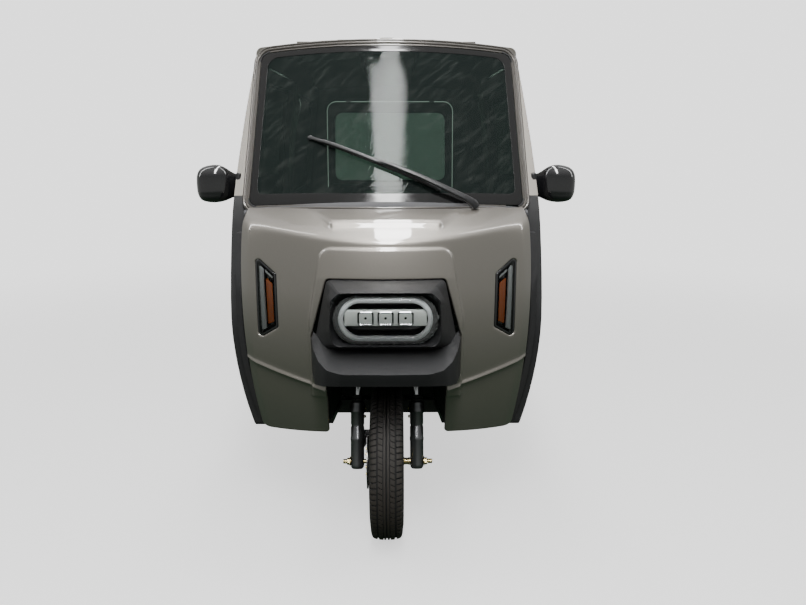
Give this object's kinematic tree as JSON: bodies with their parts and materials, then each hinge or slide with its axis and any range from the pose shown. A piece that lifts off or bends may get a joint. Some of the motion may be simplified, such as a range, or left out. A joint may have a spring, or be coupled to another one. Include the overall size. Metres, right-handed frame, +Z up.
{
  "type": "enclosed electric tricycle",
  "caption": "Closed-cab electric tricycle: raked fork and steered front wheel, live rear axle with hub motor gear case, hinged side doors, lifting tailgate, driver seat and rear bench.",
  "frame": {"origin": "on the ground, under the middle of the overall length, on the centre plane", "axes": "+Z up, nose towards -Y, +X to the viewer's right when facing the nose"},
  "size_m": [1.3422, 2.6, 1.795],
  "materials": {
    "body_paint": "champagne silver metallic under clear coat",
    "frame_black": "black underbody paint",
    "matte_trim": "fine-grained dark grey plastic",
    "headlamp": "clear lens over a white light ring",
    "side_lamp": "clear lens over amber and white",
    "tail_lamp": "red lens",
    "seal": "black screen border",
    "windscreen_glass": "lightly green laminated glass",
    "side_glass": "tinted glass",
    "cabin_plastic": "grained dark plastic",
    "seat_cover": "black leathercloth with stitched channels",
    "battery_case": "moulded case",
    "wiper_black": "satin black",
    "fork_metal": "satin steel fork legs",
    "bar_black": "black bar and grips",
    "zinc_plate": "yellow zinc plate",
    "cast_metal": "grey casting",
    "tyre": "road tread rubber",
    "wheel_metal": "silver painted steel wheel",
    "disc_steel": "ground brake disc",
    "mirror_gloss": "gloss black housing"
  },
  "bodies": {
    "cabin": {"chassis_frame": "frame_black", "floor_pan": "frame_black", "front_fascia": "body_paint", "nose_cowl": "matte_trim", "headlamp": "headlamp", "side_lamps": "side_lamp", "arch_liner": "matte_trim", "pillar_trims": "matte_trim", "screen_surround": "body_paint", "screen_seal": "seal", "windshield": "windscreen_glass", "side_frame_left": "body_paint", "side_frame_right": "body_paint", "quarter_glass": "side_glass", "roof": "body_paint", "rear_panel": "body_paint", "tail_lamps": "tail_lamp", "rear_bumper": "matte_trim", "dashboard": "cabin_plastic", "seat_bases": "cabin_plastic", "driver_cushion": "seat_cover", "driver_backrest": "seat_cover", "bench_cushion": "seat_cover", "bench_backrest": "seat_cover", "battery_box": "battery_case", "rear_suspension": "frame_black", "rear_axle": "frame_black", "wiper": "wiper_black"},
    "steering": {"steering_fork": "fork_metal", "handlebar": "bar_black", "front_axle": "zinc_plate", "brake_caliper": "cast_metal"},
    "front_wheel": {"front_tyre": "tyre", "front_rim": "wheel_metal", "brake_disc": "disc_steel"},
    "rear_wheel_left": {"rear_tyre_left": "tyre", "rear_rim_left": "wheel_metal"},
    "rear_wheel_right": {"rear_tyre_right": "tyre", "rear_rim_right": "wheel_metal"},
    "door_left": {"door_left": "body_paint", "door_glass_left": "side_glass", "mirror_left": "mirror_gloss"},
    "door_right": {"door_right": "body_paint", "door_glass_right": "side_glass", "mirror_right": "mirror_gloss"},
    "tailgate": {"tailgate": "body_paint", "tailgate_glass": "side_glass"}
  },
  "joints": [
    {"name": "steering", "type": "hinge", "parent": "cabin", "child": "steering", "pos_m": [0, -0.80471, 0.79973], "axis": [0, 0.309, 0.9511], "range_deg": [-30, 30]},
    {"name": "front_wheel_spin", "type": "hinge", "parent": "steering", "child": "front_wheel", "pos_m": [0, -1.01, 0.265], "axis": [1, 0, 0], "continuous": true},
    {"name": "rear_wheel_left_spin", "type": "hinge", "parent": "cabin", "child": "rear_wheel_left", "pos_m": [-0.45, 0.84, 0.265], "axis": [1, 0, 0], "continuous": true},
    {"name": "rear_wheel_right_spin", "type": "hinge", "parent": "cabin", "child": "rear_wheel_right", "pos_m": [0.45, 0.84, 0.265], "axis": [1, 0, 0], "continuous": true},
    {"name": "door_left_hinge", "type": "hinge", "parent": "cabin", "child": "door_left", "pos_m": [-0.53, -0.845, 0.76], "axis": [0, 0, 1], "range_deg": [0, 70]},
    {"name": "door_right_hinge", "type": "hinge", "parent": "cabin", "child": "door_right", "pos_m": [0.53, -0.845, 0.76], "axis": [0, 0, -1], "range_deg": [0, 70]},
    {"name": "tailgate_hinge", "type": "hinge", "parent": "cabin", "child": "tailgate", "pos_m": [0, 1.237, 1.64], "axis": [1, 0, 0], "range_deg": [0, 85]}
  ]
}
